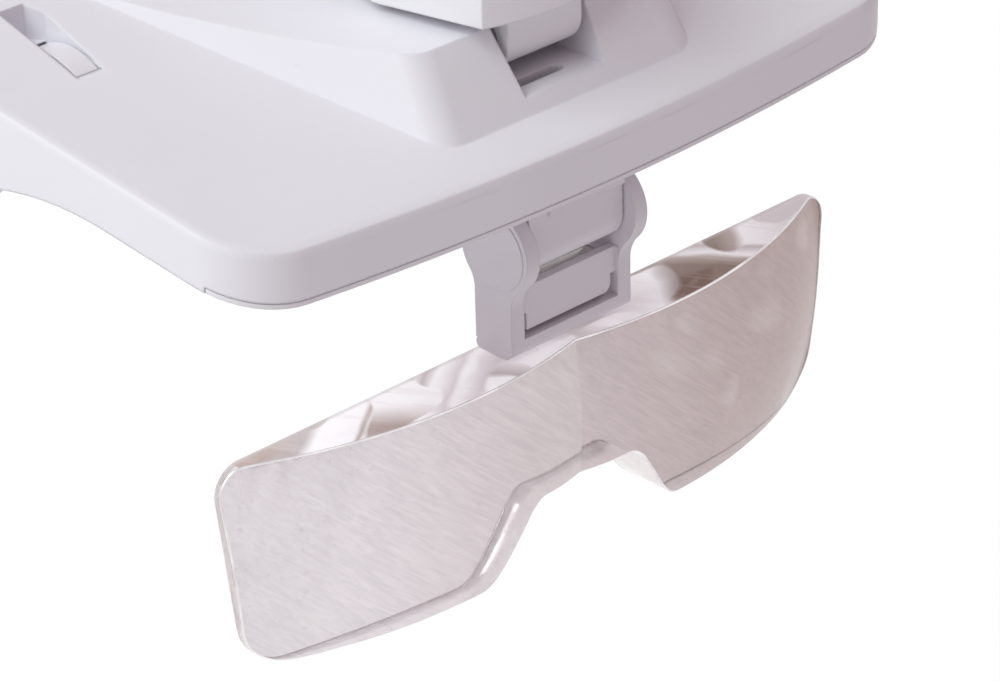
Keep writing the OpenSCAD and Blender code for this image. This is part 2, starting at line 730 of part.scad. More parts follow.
module battery_door() datum() color([0.89, 0.89, 0.92]) {
    y0 = cell_y - cell_r - 0.3;
    difference() {
        intersection() {
            union() {
                box([-door_half_w, y0, lamp_top - lamp_wall + 0.1], [door_half_w, lamp_rear, lamp_top]);
                for (i = [0 : 3]) box([-4, lamp_rear - 4 - 1.4 * i, lamp_top - 0.2],
                    [4, lamp_rear - 3.3 - 1.4 * i, lamp_top + 0.4]);
            }
            translate([0, 0, lamp_z]) linear_extrude(lamp_h + 5) lamp_plan(0);
        }
    }
}
module switch_slider() datum() color([0.35, 0.36, 0.38]) {
    box([-1.6, -2.9, lamp_top - lamp_wall - 0.1], [0.4, -1.1, lamp_top + 1.1]);
    box([-2.2, -3.6, lamp_top - lamp_wall - 1.1], [1.2, -0.5, lamp_top - lamp_wall - 0.1]);
}
module lamp_window() datum() color([0.85, 0.87, 0.9, 0.5]) {
    intersection() {
        box([-window_half_w + 0.1, -20, window_z - window_half_h + 0.1],
            [window_half_w - 0.1, -3, window_z + window_half_h - 0.1]);
        translate([0, 0, lamp_z]) linear_extrude(lamp_h) difference() { lamp_plan(0.25); lamp_plan(1.25); }
    }
}
led_x = 3.8;
led_base_y = lamp_front + 5;
module lamp_reflector() datum() color([0.78, 0.79, 0.81]) {
    difference() {
        box([-window_half_w + 0.3, led_base_y - 2.6, window_z - window_half_h],
            [window_half_w - 0.3, led_base_y - 0.1, window_z + window_half_h]);
        for (x = [-led_x, led_x]) translate([x, led_base_y, window_z]) rotate([90, 0, 0]) {
            translate([0, 0, 0.05]) cylinder(h = 2.9, r1 = 1.75, r2 = 3.3);
        }
    }
}
module lamp_leds() datum() color([0.97, 0.95, 0.8]) {
    for (x = [-led_x, led_x]) translate([x, led_base_y - 0.02, window_z]) rotate([90, 0, 0]) {
        cylinder(h = 1.3, r = 1.45);
        translate([0, 0, 1.25]) sphere(r = 1.2, $fn = 48);
    }
}
module led_board() datum() color([0.2, 0.45, 0.3]) {
    box([-window_half_w, led_base_y, window_z - window_half_h - 0.6],
        [window_half_w, led_base_y + 1, window_z + window_half_h + 0.6]);
}
module coin_cells() datum() color([0.75, 0.76, 0.78]) {
    for (i = [0, 1]) translate([0, cell_y, cell_z + i * (cell_t + 0.1)]) {
        cylinder(h = cell_t - 0.4, r = cell_r, $fn = 96);
        translate([0, 0, cell_t - 0.4]) cylinder(h = 0.4, r = cell_r - 1.2, $fn = 96);
    }
}
module cell_contacts() datum() color([0.8, 0.72, 0.5]) {
    top = cell_z + 2 * cell_t + 0.1;
    box([-2, cell_y - cell_r + 1.5, cell_z - 0.4], [2, cell_y + cell_r - 3, cell_z - 0.1]);
    box([-2, cell_y - cell_r - 1.2, cell_z - 0.4], [2, cell_y - cell_r + 1.6, cell_z - 0.1]);
    box([3.2, cell_y - cell_r - 1, top - 3.2], [6, cell_y - cell_r - 0.6, top + 0.2]);
}
module lamp_tilt_axle() datum() color([0.7, 0.71, 0.73]) {
    translate([0, tilt_y, tilt_z]) along_x(-notch_half_w - 2.4, notch_half_w + 2.4, tilt_axle_r);
}
module tilt_washers() datum() color([0.25, 0.25, 0.26]) {
    washer_r = 2;
    // the notch's walls lean apart, so the narrowest place is at the washer's lower edge
    washer_out = notch_half_w + notch_lean * (tilt_z - washer_r - sill_z) - 0.05;
    both_sides() translate([0, tilt_y, tilt_z]) difference() {
        along_x(knuckle_half_w + 0.05, washer_out, washer_r);
        along_x(0, washer_out + 1, tilt_axle_r + 0.05);
    }
}
module lamp_case_screws() datum() color([0.62, 0.63, 0.65]) {
    both_sides() translate([case_screw_xy[0], case_screw_xy[1], case_screw_z + 0.1]) {
        cylinder(h = 0.95, r = 1.5, $fn = 48);
        cylinder(h = 9, r = 0.8);
    }
}

visor_upper_shell();
visor_lower_cover();
cover_screws();
pivot_discs();
pivot_disc_screws();
flip_hinge_block();
hinge_block_screws();
flip_bracket();
flip_axle();
lens_plate();
lamp_lower_case();
lamp_upper_case();
lamp_window();
lamp_reflector();
lamp_leds();
led_board();
coin_cells();
cell_contacts();
battery_door();
switch_slider();
lamp_tilt_axle();
tilt_washers();
lamp_case_screws();
flip_friction_rings();
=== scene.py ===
"""Finish and studio for a head-worn visor with a tilting lamp and a flip-up clip-on lens.

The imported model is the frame: +Z up as worn, -Y away from the wearer, metres. Moulded pieces get
softened edges and their plastics, the lens plate is laid out again as a smooth optical form, and a
plain white studio lights the whole from the photograph's side.
"""

import logging
import math
from dataclasses import dataclass, field
from enum import Enum
from typing import ClassVar

import bmesh
import bpy
from mathutils import Matrix, Vector
from mathutils.geometry import delaunay_2d_cdt


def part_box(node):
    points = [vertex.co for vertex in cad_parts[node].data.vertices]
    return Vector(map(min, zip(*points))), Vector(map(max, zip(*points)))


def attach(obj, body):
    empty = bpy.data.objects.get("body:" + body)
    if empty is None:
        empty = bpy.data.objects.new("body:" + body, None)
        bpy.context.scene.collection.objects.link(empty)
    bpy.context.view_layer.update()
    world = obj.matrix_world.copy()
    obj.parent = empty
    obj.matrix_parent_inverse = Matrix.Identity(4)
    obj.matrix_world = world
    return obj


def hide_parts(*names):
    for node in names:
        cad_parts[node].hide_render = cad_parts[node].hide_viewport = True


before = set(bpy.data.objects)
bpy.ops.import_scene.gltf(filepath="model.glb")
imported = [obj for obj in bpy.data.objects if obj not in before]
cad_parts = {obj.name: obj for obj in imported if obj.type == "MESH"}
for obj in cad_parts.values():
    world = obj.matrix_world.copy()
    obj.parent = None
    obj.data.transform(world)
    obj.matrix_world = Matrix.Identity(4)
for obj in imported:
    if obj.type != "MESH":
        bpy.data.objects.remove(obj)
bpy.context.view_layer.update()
LOG = logging.getLogger("visor")
MM = 0.001
Colour = tuple[float, float, float]
Triple = tuple[float, float, float]
Span = tuple[float, float]


class Kind(Enum):
    """Shader nodes that the finishes use."""

    PRINCIPLED = "ShaderNodeBsdfPrincipled"
    OUTPUT = "ShaderNodeOutputMaterial"
    COORDS = "ShaderNodeTexCoord"
    MAPPING = "ShaderNodeMapping"
    NOISE = "ShaderNodeTexNoise"
    RAMP = "ShaderNodeValToRGB"
    MIX = "ShaderNodeMix"
    MATH = "ShaderNodeMath"
    BUMP = "ShaderNodeBump"
    BEVEL = "ShaderNodeBevel"
    SEPARATE = "ShaderNodeSeparateXYZ"
    EMISSION = "ShaderNodeEmission"
    DIFFUSE = "ShaderNodeBsdfDiffuse"
    MIX_SHADER = "ShaderNodeMixShader"
    LIGHT_PATH = "ShaderNodeLightPath"
    BACKGROUND = "ShaderNodeBackground"
    WORLD_OUTPUT = "ShaderNodeOutputWorld"


class Wire:
    """A shader socket that can be used in Python arithmetic."""

    def __init__(self, graph: "Graph", socket: bpy.types.NodeSocket) -> None:
        """Wraps one output socket.

        Args:
            graph: The graph that the socket belongs to.
            socket: The output socket.
        """
        self.graph = graph
        self.socket = socket

    def _math(self, operation: str, first: "Wire | float", second: "Wire | float") -> "Wire":
        """Adds one Math node.

        Args:
            operation: Name of the Math operation.
            first: First value.
            second: Second value.

        Returns:
            The node's result.
        """
        node = self.graph.node(Kind.MATH, {"operation": operation}, {0: first, 1: second})
        return Wire(self.graph, node.outputs[0])

    def __add__(self, other: "Wire | float") -> "Wire":
        """Sum."""
        return self._math("ADD", self, other)

    __radd__ = __add__

    def __mul__(self, other: "Wire | float") -> "Wire":
        """Product."""
        return self._math("MULTIPLY", self, other)

    __rmul__ = __mul__

    def __sub__(self, other: "Wire | float") -> "Wire":
        """Difference."""
        return self._math("SUBTRACT", self, other)

    def __rsub__(self, other: float) -> "Wire":
        """Reflected difference."""
        return self._math("SUBTRACT", other, self)

    def __truediv__(self, other: "Wire | float") -> "Wire":
        """Quotient."""
        return self._math("DIVIDE", self, other)

    def clamped(self) -> "Wire":
        """The value held between 0 and 1."""
        return self._math("MAXIMUM", self._math("MINIMUM", self, 1.0), 0.0)

    def largest(self, other: "Wire | float") -> "Wire":
        """The larger of two values."""
        return self._math("MAXIMUM", self, other)


class Graph:
    """The node tree of one material or world."""

    def __init__(self, tree: bpy.types.NodeTree) -> None:
        """Empties a node tree and takes it over.

        Args:
            tree: The node tree.
        """
        self.tree = tree
        self.tree.nodes.clear()

    def node(self, kind: Kind, settings: dict | None = None, inputs: dict | None = None) -> bpy.types.Node:
        """Adds a node.

        Args:
            kind: The node's type.
            settings: Properties that are set first; "stops" fills a colour ramp.
            inputs: Values or links by socket name or number.

        Returns:
            The node.
        """
        made = self.tree.nodes.new(kind.value)
        for name, value in (settings or {}).items():
            if name == "stops":
                self._fill_ramp(made, value)
            else:
                setattr(made, name, value)
        for name, value in (inputs or {}).items():
            if isinstance(value, Wire):
                self.tree.links.new(value.socket, made.inputs[name])
            elif isinstance(value, bpy.types.NodeSocket):
                self.tree.links.new(value, made.inputs[name])
            else:
                made.inputs[name].default_value = value
        return made

    @staticmethod
    def _fill_ramp(node: bpy.types.Node, stops: list[tuple[float, Colour]]) -> None:
        """Writes the stops of a colour ramp.

        Args:
            node: The ramp node.
            stops: Position and colour of each stop.
        """
        elements = node.color_ramp.elements
        while len(elements) < len(stops):
            elements.new(0.5)
        for element, (position, colour) in zip(elements, stops):
            element.position = position
            element.color = (*colour, 1.0)

    def place(self, stretch: Triple = (1.0, 1.0, 1.0),
              turn: Triple = (0.0, 0.0, 0.0)) -> bpy.types.NodeSocket:
        """Object coordinates in turned axes, along which a pattern is stretched.

        Args:
            stretch: How many times longer a pattern lies along each turned axis.
            turn: Rotation of the axes, in degrees.

        Returns:
            The vector socket.
        """
        coords = self.node(Kind.COORDS)
        mapping = self.node(Kind.MAPPING, {"vector_type": "TEXTURE"}, {
            "Vector": coords.outputs["Object"],
            "Scale": stretch,
            "Rotation": tuple(math.radians(a) for a in turn),
        })
        return mapping.outputs["Vector"]

    def noise(self, vector: bpy.types.NodeSocket, scale: float, detail: float = 2.0) -> Wire:
        """A noise value.

        Args:
            vector: Where the noise is read.
            scale: How fine the noise is.
            detail: Number of finer layers.

        Returns:
            The noise as a value.
        """
        node = self.node(Kind.NOISE, None, {"Vector": vector, "Scale": scale, "Detail": detail})
        return Wire(self, node.outputs["Fac"])

    def blend(self, factor: Wire, first: Colour | bpy.types.NodeSocket,
              second: Colour | bpy.types.NodeSocket) -> bpy.types.NodeSocket:
        """Mixes two colours.

        Args:
            factor: Share of the second colour.
            first: First colour or its socket.
            second: Second colour or its socket.

        Returns:
            The mixed colour's socket.
        """
        colours = [(*c, 1.0) if isinstance(c, tuple) else c for c in (first, second)]
        node = self.node(Kind.MIX, {"data_type": "RGBA"}, {0: factor, 6: colours[0], 7: colours[1]})
        return node.outputs[2]

    def ramp(self, value: Wire, low: float, high: float) -> Wire:
        """Stretches a value so that low becomes 0 and high becomes 1.

        Args:
            value: The value.
            low: What becomes 0.
            high: What becomes 1.

        Returns:
            The stretched value, clamped.
        """
        return ((value - low) / (high - low)).clamped()


@dataclass(frozen=True)
class Finish:
    """A material: its name, colour and gloss.

    In the finishes below a size is a pattern's noise scale, so more is finer; a span is the stretch of
    the noise over which the pattern sets in; a share is how strongly it shows, and a gloss is what it
    adds to the roughness.
    """

    name: str
    colour: Colour
    roughness: float = 0.4

    def material(self) -> bpy.types.Material:
        """The Blender material, made once.

        Returns:
            The material.
        """
        made = bpy.data.materials.get(self.name)
        if made is None:
            made = bpy.data.materials.new(self.name)
            made.use_nodes = True
            graph = Graph(made.node_tree)
            shader = self.shade(graph)
            graph.node(Kind.OUTPUT, None, {"Surface": shader.outputs[0]})
        return made

    def shade(self, graph: Graph) -> bpy.types.Node:
        """Fills the graph.

        Args:
            graph: The material's graph.

        Returns:
            The shader node.
        """
        raise NotImplementedError

    def dress(self, piece: bpy.types.Object) -> None:
        """Gives a piece this finish.

        Args:
            piece: The piece.
        """
        piece.data.materials.clear()
        piece.data.materials.append(self.material())


@dataclass(frozen=True)
class MouldedPlastic(Finish):
    """Injection-moulded plastic with a fine spark-eroded grain, faint scuffs and specks, and soft edges."""

    edge: float = 0.25
    mottle: float = 0.025
    cloud_size: float = 28.0
    cloud_span: Span = (0.3, 0.7)
    scuff_size: float = 210.0
    scuff_span: Span = (0.66, 0.8)
    scuff_gloss: float = 0.07
    scuff_stretch: Triple = (1.0, 0.33, 1.0)
    scuff_turn: Triple = (0.0, 0.0, 35.0)
    speck_size: float = 900.0
    speck_span: Span = (0.79, 0.83)
    speck_share: float = 0.12
    speck_colour: Colour = (0.35, 0.33, 0.34)
    grain: float = 0.02
    grain_size: float = 5200.0
    grain_depth: float = 0.00004
    grain_gloss: float = 0.06

    def shade(self, graph: Graph) -> bpy.types.Node:
        """Fills the graph with cloudy colour, grain and rounded edges.

        Args:
            graph: The material's graph.

        Returns:
            The shader node.
        """
        place = graph.place()
        cloud = graph.noise(place, self.cloud_size, 3.0)
        fine = graph.noise(place, self.grain_size)
        scratched = graph.noise(graph.place(self.scuff_stretch, self.scuff_turn), self.scuff_size, 4.0)
        scuff = graph.ramp(scratched, *self.scuff_span)
        dark = tuple(c * (1.0 - self.mottle) for c in self.colour)
        light = tuple(min(1.0, c * (1.0 + self.mottle * 0.5)) for c in self.colour)
        colour = graph.blend(graph.ramp(cloud, *self.cloud_span), dark, light)
        speck = graph.ramp(graph.noise(place, self.speck_size, 1.0), *self.speck_span)
        colour = graph.blend(speck * self.speck_share, colour, self.speck_colour)
        rounded = graph.node(Kind.BEVEL, {"samples": 6}, {"Radius": self.edge * MM})
        bump = graph.node(Kind.BUMP, None, {
            "Strength": self.grain,
            "Distance": self.grain_depth,
            "Height": fine,
            "Normal": rounded.outputs[0],
        })
        return graph.node(Kind.PRINCIPLED, None, {
            "Base Color": colour,
            "Roughness": self.roughness + fine * self.grain_gloss + scuff * self.scuff_gloss,
            "Normal": bump.outputs[0],
        })


@dataclass(frozen=True)
class ClearAcrylic(Finish):
    """Clear moulded acrylic, milky with fine slanting polish lines, soft blotches and dust.

    The colour passes along X into a darker brown-grey, over the stretch that fade gives in metres: painted
    shade on the right lobe. The index is a little under acrylic's 1.49, which keeps total reflection out of
    the lens plate's left end.
    """

    # Painted shade: the darker brown-grey towards the right lobe.
    painted_shade_colour: Colour = (0.43, 0.314, 0.298)
    fade: Span = (-0.034, 0.05)
    clarity: float = 0.8
    ior: float = 1.4
    slant: float = 40.0
    lines: float = 0.32
    line_size: float = 3000.0
    line_stretch: Triple = (18.0, 1.0, 1.0)
    band_size: float = 1100.0
    band_stretch: Triple = (9.0, 1.0, 1.0)
    band_slant: float = 44.0
    drift_size: float = 75.0
    haze_mix: Triple = (0.5, 0.35, 0.15)
    haze_span: Span = (0.4, 0.6)
    haze_tones: Span = (-0.2, 0.24)
    haze_gloss: float = 0.03
    mark_share: float = 0.9
    blotch_size: float = 115.0
    blotch_span: Span = (0.66, 0.74)
    blotch_stretch: Triple = (1.8, 1.0, 1.0)
    blotch_colour: Colour = (0.97, 0.95, 0.95)
    dust_size: float = 1500.0
    dust_span: Span = (0.8, 0.83)
    dust_colour: Colour = (0.4, 0.33, 0.33)

    def shade(self, graph: Graph) -> bpy.types.Node:
        """Fills the graph with a slanting haze over a clear body.

        Args:
            graph: The material's graph.

        Returns:
            The shader node.
        """
        place = graph.place()
        spread = graph.node(Kind.SEPARATE, None, {0: place})
        # Painted shade: the colour darkens along X towards the right lobe.
        side = graph.ramp(Wire(graph, spread.outputs[0]), *self.fade)
        fine = graph.noise(graph.place(self.line_stretch, (0.0, self.slant, 0.0)), self.line_size)
        broad = graph.noise(graph.place(self.band_stretch, (0.0, self.band_slant, 0.0)), self.band_size)
        drift = graph.noise(place, self.drift_size)
        mix = self.haze_mix
        haze = graph.ramp(fine * mix[0] + broad * mix[1] + drift * mix[2], *self.haze_span)
        dark, milky = (graph.blend(side, self._toned(self.colour, tone), self._toned(self.painted_shade_colour, tone))
                       for tone in self.haze_tones)
        colour = graph.blend(haze, dark, milky)
        spots = graph.noise(graph.place(self.blotch_stretch, (0.0, self.slant, 0.0)), self.blotch_size, 1.0)
        blotch = graph.ramp(spots, *self.blotch_span)
        colour = graph.blend(blotch * self.mark_share * self.lines, colour, self.blotch_colour)
        dust = graph.ramp(graph.noise(place, self.dust_size, 0.0), *self.dust_span)
        colour = graph.blend(dust * self.mark_share * self.lines, colour, self.dust_colour)
        return graph.node(Kind.PRINCIPLED, None, {
            "Base Color": colour,
            "Roughness": self.roughness + haze * self.haze_gloss,
            "IOR": self.ior,
            "Transmission Weight": self.clarity,
        })

    def _toned(self, colour: Colour, tone: float) -> Colour:
        """A colour made lighter or darker by the haze.

        Args:
            colour: The colour.
            tone: How much lighter it becomes under full lines; below 0 it becomes darker.

        Returns:
            The new colour.
        """
        return tuple(min(1.0, c * (1.0 + self.lines * tone)) for c in colour)


class Glint(Enum):
    """Tones of painted light and shade on the lens plate's polished walls: bright glints and brown-grey
    patches.
    """

    WHITE = (0.97, 0.96, 0.97)
    MILK = (0.86, 0.82, 0.84)
    PALE = (0.68, 0.63, 0.64)
    GREY = (0.5, 0.44, 0.44)
    TAUPE = (0.42, 0.33, 0.3)
    BROWN = (0.2, 0.12, 0.09)


@dataclass(frozen=True)
class AcrylicWall(Finish):
    """Polished wall of the acrylic, painted with the bright and brown-grey patches of light and shade that
    collect there.

    The colour is that of the wall's fine streaks. A patch's place is in millimetres along the plate,
    read at the wall's rear edge; towards the front it leans by lean_left or lean_right, and the
    crossing patches lean the other way. The glow is painted light: the wall gives out its own colour,
    standing in for light that the acrylic carries to the wall.
    """

    clarity: float = 0.12
    glow: float = 0.3
    ior: float = 1.49
    lean_left: float = 1.4
    lean_right: float = 0.9
    cross_lean: float = 0.8
    turnover: Span = (0.012, 0.001)
    warp_size: float = 170.0
    waver: float = 0.0022
    cut_size: float = 150.0
    cut_span: Span = (0.52, 0.56)
    cut_stretch: Triple = (1.6, 1.0, 1.0)
    cut_turn: Triple = (0.0, 0.0, 35.0)
    streak_size: float = 700.0
    streak_span: Span = (0.5, 0.7)
    streak_share: float = 0.3
    streak_gloss: float = 0.05
    streak_stretch: Triple = (1.0, 8.0, 1.0)
    streak_turn: Triple = (0.0, 0.0, 30.0)
    rear_shade_span: Span = (-0.001, -0.0003)
    rear_shade_share: float = 0.6
    patches: tuple[tuple[float, Glint], ...] = (
        (-52.0, Glint.TAUPE), (-43.0, Glint.TAUPE), (-36.5, Glint.GREY), (-34.0, Glint.WHITE),
        (-27.0, Glint.WHITE), (-25.8, Glint.TAUPE), (-24.6, Glint.WHITE), (-20.0, Glint.WHITE),
        (-17.5, Glint.GREY), (-15.0, Glint.WHITE), (-11.0, Glint.PALE), (-9.5, Glint.WHITE),
        (-5.0, Glint.PALE), (-1.0, Glint.WHITE), (6.0, Glint.WHITE), (7.5, Glint.TAUPE),
        (9.5, Glint.BROWN), (20.5, Glint.BROWN), (23.5, Glint.TAUPE), (25.0, Glint.WHITE),
        (28.0, Glint.GREY), (29.5, Glint.WHITE), (33.0, Glint.PALE), (52.0, Glint.PALE))
    crossing: tuple[tuple[float, Glint], ...] = (
        (-52.0, Glint.GREY), (-38.0, Glint.TAUPE), (-30.0, Glint.WHITE), (-22.0, Glint.WHITE),
        (-20.5, Glint.GREY), (-12.0, Glint.WHITE), (-6.0, Glint.WHITE), (10.0, Glint.PALE),
        (20.0, Glint.WHITE), (22.5, Glint.GREY), (25.0, Glint.BROWN), (32.0, Glint.BROWN),
        (35.0, Glint.TAUPE), (37.0, Glint.WHITE), (52.0, Glint.PALE))

    def shade(self, graph: Graph) -> bpy.types.Node:
        """Fills the graph with slanting patches of painted light and shade, fine streaks, a painted greyer
        line of shade along the rear edge and a painted glow.

        Args:
            graph: The material's graph.

        Returns:
            The shader node.
        """
        spread = graph.node(Kind.SEPARATE, None, {0: graph.place()})
        along, back = (Wire(graph, spread.outputs[i]) for i in (0, 1))
        left = graph.ramp(-1.0 * along, 0.0, self.turnover[0])
        right = graph.ramp(along, 0.0, self.turnover[1])
        lean = right * self.lean_right - left * self.lean_left
        warp = (graph.noise(graph.place(), self.warp_size, 1.0) - 0.5) * self.waver
        deep = back + LensPlate.REAR * MM
        # Painted highlights and painted shade: bright and brown-grey patches laid along the plate.
        main = self._tones(graph, self.patches, along + deep * lean + warp)
        cross = self._tones(graph, self.crossing, along - deep * lean * self.cross_lean + warp)
        patchy = graph.noise(graph.place(self.cut_stretch, self.cut_turn), self.cut_size, 0.0)
        colour = graph.blend(graph.ramp(patchy, *self.cut_span), main, cross)
        fine = graph.noise(graph.place(self.streak_stretch, self.streak_turn), self.streak_size)
        colour = graph.blend(graph.ramp(fine, *self.streak_span) * self.streak_share, colour, self.colour)
        # Painted shade: a greyer line along the wall's rear edge.
        colour = graph.blend(graph.ramp(deep, *self.rear_shade_span) * self.rear_shade_share, colour, Glint.GREY.value)
        return graph.node(Kind.PRINCIPLED, None, {
            "Base Color": colour,
            "Roughness": self.roughness + fine * self.streak_gloss,
            "IOR": self.ior,
            "Transmission Weight": self.clarity,
            # Painted light: the wall gives out its own colour as a glow, though it is no lamp.
            "Emission Color": colour,
            "Emission Strength": self.glow,
        })

    @staticmethod
    def _tones(graph: Graph, patches: tuple[tuple[float, Glint], ...], spot: Wire) -> bpy.types.NodeSocket:
        """Tones laid along the plate.

        Args:
            graph: The material's graph.
            patches: Place in millimetres and tone of each patch.
            spot: Where a point lies along the plate, in metres.

        Returns:
            The colour's socket.
        """
        low, high = patches[0][0], patches[-1][0]
        stops = [((x - low) / (high - low), tone.value) for x, tone in patches]
        return graph.node(Kind.RAMP, {"stops": stops}, {0: graph.ramp(spot, low * MM, high * MM)}).outputs[0]


@dataclass(frozen=True)
class AcrylicRim(Finish):
    """Softly rounded edge of the acrylic, with a painted highlight: a pale, partly metallic colour that
    shows as a thin bright line.
    """

    metallic: float = 0.75
    dull_size: float = 160.0
    dull_span: Span = (0.4, 0.62)
    dull_tone: float = 0.8
    dull_gloss: float = 0.2

    def shade(self, graph: Graph) -> bpy.types.Node:
        """Fills the graph with a painted highlight: a pale mirror that dulls here and there.

        Args:
            graph: The material's graph.

        Returns:
            The shader node.
        """
        dull = graph.ramp(graph.noise(graph.place(), self.dull_size), *self.dull_span)
        colour = graph.blend(dull, self.colour, tuple(c * self.dull_tone for c in self.colour))
        # Painted highlight: the rim is pale and partly metallic so that it shows as a bright line.
        return graph.node(Kind.PRINCIPLED, None, {
            "Base Color": colour,
            "Roughness": self.roughness + dull * self.dull_gloss,
            "Metallic": self.metallic,
        })


@dataclass(frozen=True)
class Metal(Finish):
    """Plain or plated metal with fine turning marks."""

    metallic: float = 1.0
    brush_size: float = 3800.0
    brush_stretch: Triple = (20.0, 1.0, 1.0)
    brush_span: Span = (0.3, 0.7)
    brush_tone: float = 0.86
    brush_gloss: float = 0.12

    def shade(self, graph: Graph) -> bpy.types.Node:
        """Fills the graph with brushed metal.

        Args:
            graph: The material's graph.

        Returns:
            The shader node.
        """
        brushed = graph.noise(graph.place(self.brush_stretch), self.brush_size)
        dark = tuple(c * self.brush_tone for c in self.colour)
        colour = graph.blend(graph.ramp(brushed, *self.brush_span), dark, self.colour)
        return graph.node(Kind.PRINCIPLED, None, {
            "Base Color": colour,
            "Roughness": self.roughness + brushed * self.brush_gloss,
            "Metallic": self.metallic,
        })


@dataclass(frozen=True)
class Matt(Finish):
    """Rubber, solder mask and other plain matt stuff with a faint mottle."""

    grain: float = 0.08
    grain_size: float = 2400.0
    grain_span: Span = (0.35, 0.65)
    grain_tone: float = 0.8
    grain_gloss: float = 0.1
    grain_depth: float = 0.00005

    def shade(self, graph: Graph) -> bpy.types.Node:
        """Fills the graph with a mottled matt surface.

        Args:
            graph: The material's graph.

        Returns:
            The shader node.
        """
        fine = graph.noise(graph.place(), self.grain_size, 3.0)
        dark = tuple(c * self.grain_tone for c in self.colour)
        colour = graph.blend(graph.ramp(fine, *self.grain_span), dark, self.colour)
        bump = graph.node(Kind.BUMP, None, {
            "Strength": self.grain,
            "Distance": self.grain_depth,
            "Height": fine,
        })
        return graph.node(Kind.PRINCIPLED, None, {
            "Base Color": colour,
            "Roughness": self.roughness + fine * self.grain_gloss,
            "Normal": bump.outputs[0],
        })


class Finishes:
    """Every finish of the object."""

    SHELL = MouldedPlastic("white_abs_shell", (0.80, 0.79, 0.84), roughness=0.42, edge=0.5)
    COVER = MouldedPlastic("white_abs_cover", (0.79, 0.775, 0.825), roughness=0.5, edge=0.2)
    HINGE = MouldedPlastic("white_acetal_hinge", (0.74, 0.715, 0.765), roughness=0.38, edge=0.22)
    LAMP = MouldedPlastic("white_abs_lamp", (0.82, 0.815, 0.85), roughness=0.36, edge=0.45)
    # The lens's colour darkens towards its right lobe as painted shade; its walls carry painted patches of
    # light and shade and a painted glow, and its rim a painted highlight.
    LENS = ClearAcrylic("clear_acrylic_lens", (0.835, 0.785, 0.815), roughness=0.01)
    LENS_TOP = AcrylicWall("clear_acrylic_top", Glint.PALE.value, roughness=0.06)
    LENS_RIM = AcrylicRim("clear_acrylic_rim", (0.95, 0.92, 0.93), roughness=0.12)
    LENS_SIDE = AcrylicWall("clear_acrylic_side", Glint.PALE.value, roughness=0.1, clarity=0.55, glow=0.2,
                            patches=((-52.0, Glint.GREY), (-49.5, Glint.GREY), (-46.0, Glint.WHITE),
                                     (46.0, Glint.MILK), (49.5, Glint.PALE), (52.0, Glint.PALE)),
                            crossing=((-52.0, Glint.GREY), (-49.5, Glint.PALE), (-46.0, Glint.MILK),
                                      (46.0, Glint.WHITE), (49.5, Glint.PALE), (52.0, Glint.PALE)))
    WINDOW = ClearAcrylic("clear_acrylic_window", (0.9, 0.9, 0.93), roughness=0.02,
                          painted_shade_colour=(0.9, 0.9, 0.93), lines=0.1)
    ZINC = Metal("zinc_plated_steel", (0.6, 0.61, 0.63), roughness=0.3)
    AXLE = Metal("ground_steel", (0.66, 0.67, 0.69), roughness=0.2)
    CHROME = Metal("metallised_reflector", (0.86, 0.87, 0.89), roughness=0.05)
    CELL = Metal("cell_steel", (0.72, 0.73, 0.75), roughness=0.24)
    CONTACT = Metal("plated_contact", (0.78, 0.68, 0.42), roughness=0.28)
    BOARD = Matt("solder_mask", (0.1, 0.3, 0.17), roughness=0.35)
    SWITCH = Matt("grey_switch", (0.16, 0.165, 0.175), roughness=0.5)
    RUBBER = Matt("dark_rubber", (0.05, 0.05, 0.052), roughness=0.75)
    LED = Matt("led_epoxy", (0.92, 0.88, 0.62), roughness=0.15)


@dataclass(frozen=True)
class SoftEdge:
    """How a moulded piece's sharp edges are rounded."""

    width_mm: float = 0.4
    segments: int = 3
    angle: float = 28.0
    weld_mm: float = 0.002
    flat: float = 0.6

    def round(self, piece: bpy.types.Object) -> None:
        """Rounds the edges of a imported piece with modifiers, so its own mesh stays as it is.

        Args:
            piece: The piece.
        """
        weld = piece.modifiers.new("weld", "WELD")
        weld.merge_threshold = self.weld_mm * MM
        plain = piece.modifiers.new("plain", "DECIMATE")
        plain.decimate_type = "DISSOLVE"
        plain.angle_limit = math.radians(self.flat)
        bevel = piece.modifiers.new("soft_edge", "BEVEL")
        bevel.limit_method = "ANGLE"
        bevel.angle_limit = math.radians(self.angle)
        bevel.width = self.width_mm * MM
        bevel.segments = self.segments
        bevel.use_clamp_overlap = True
        bevel.harden_normals = False
        even = piece.modifiers.new("even", "WEIGHTED_NORMAL")
        even.keep_sharp = False
        even.weight = 50


@dataclass
class SubAssembly:
    """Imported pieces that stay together: the finish of each, and the edges of those that are moulded."""

    finishes: dict[str, Finish]
    edges: dict[str, SoftEdge]

    def build(self) -> None:
        """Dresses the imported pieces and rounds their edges."""
        for name, finish in self.finishes.items():
            finish.dress(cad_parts[name])
            LOG.info("%s: %s", name, finish.name)
        for name, edge in self.edges.items():
            edge.round(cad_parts[name])


@dataclass
class Visor(SubAssembly):
    """Shell, cover, pivot discs and hinge block: everything that stays on the head."""

    finishes: dict[str, Finish] = field(default_factory=lambda: {
        "visor_upper_shell": Finishes.SHELL,
        "visor_lower_cover": Finishes.COVER,
        "cover_screws": Finishes.ZINC,
        "pivot_discs": Finishes.COVER,
        "pivot_disc_screws": Finishes.ZINC,
        "flip_hinge_block": Finishes.HINGE,
        "hinge_block_screws": Finishes.ZINC,
        "lamp_tilt_axle": Finishes.AXLE,
    })
    edges: dict[str, SoftEdge] = field(default_factory=lambda: {
        "visor_upper_shell": SoftEdge(0.4),
        "visor_lower_cover": SoftEdge(0.12, 2),
        "pivot_discs": SoftEdge(0.35),
        "flip_hinge_block": SoftEdge(0.3),
    })


